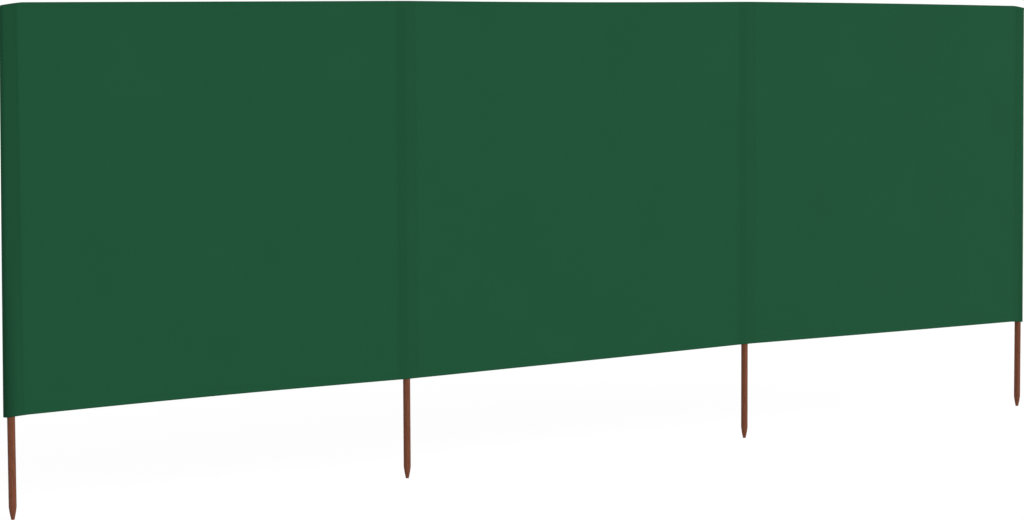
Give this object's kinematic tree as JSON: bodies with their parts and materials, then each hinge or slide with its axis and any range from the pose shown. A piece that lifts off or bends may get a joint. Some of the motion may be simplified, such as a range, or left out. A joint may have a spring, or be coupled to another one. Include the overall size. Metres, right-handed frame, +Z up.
{
  "type": "fabric windbreak",
  "caption": "Low outdoor screen of taut green cloth in a row of bays, held upright by slim pointed wooden posts in sewn pockets.",
  "frame": {"origin": "centre of the flat tip of the left inner post, the one held by the ground", "axes": "+X along the centre bay towards the right inner post, +Y to the back of the screen, +Z up"},
  "size_m": [4.0001, 0.1067, 1.6],
  "materials": {
    "post_wood": "smooth stained softwood, matt",
    "cloth": "tight plain weave, matt",
    "hem_cloth": "folded and stitched plain weave, matt"
  },
  "bodies": {
    "centre_bay": {"left_inner_post": "post_wood", "right_inner_post": "post_wood", "left_inner_pocket_front": "cloth", "left_inner_pocket_back": "cloth", "left_inner_pocket_top": "cloth", "right_inner_pocket_front": "cloth", "right_inner_pocket_back": "cloth", "right_inner_pocket_top": "cloth", "centre_panel": "cloth", "centre_top_hem": "hem_cloth", "centre_bottom_hem": "hem_cloth"},
    "left_bay": {"left_end_post": "post_wood", "left_end_pocket": "cloth", "left_end_pocket_top": "cloth", "left_panel": "cloth", "left_top_hem": "hem_cloth", "left_bottom_hem": "hem_cloth"},
    "right_bay": {"right_end_post": "post_wood", "right_end_pocket": "cloth", "right_end_pocket_top": "cloth", "right_panel": "cloth", "right_top_hem": "hem_cloth", "right_bottom_hem": "hem_cloth"}
  },
  "joints": [
    {"name": "left_fold", "type": "hinge", "parent": "centre_bay", "child": "left_bay", "pos_m": [0, 0, 0], "axis": [0, 0, -1], "range_deg": [-90, 150]},
    {"name": "right_fold", "type": "hinge", "parent": "centre_bay", "child": "right_bay", "pos_m": [1.365, 0, 0], "axis": [0, 0, -1], "range_deg": [-90, 150]}
  ]
}
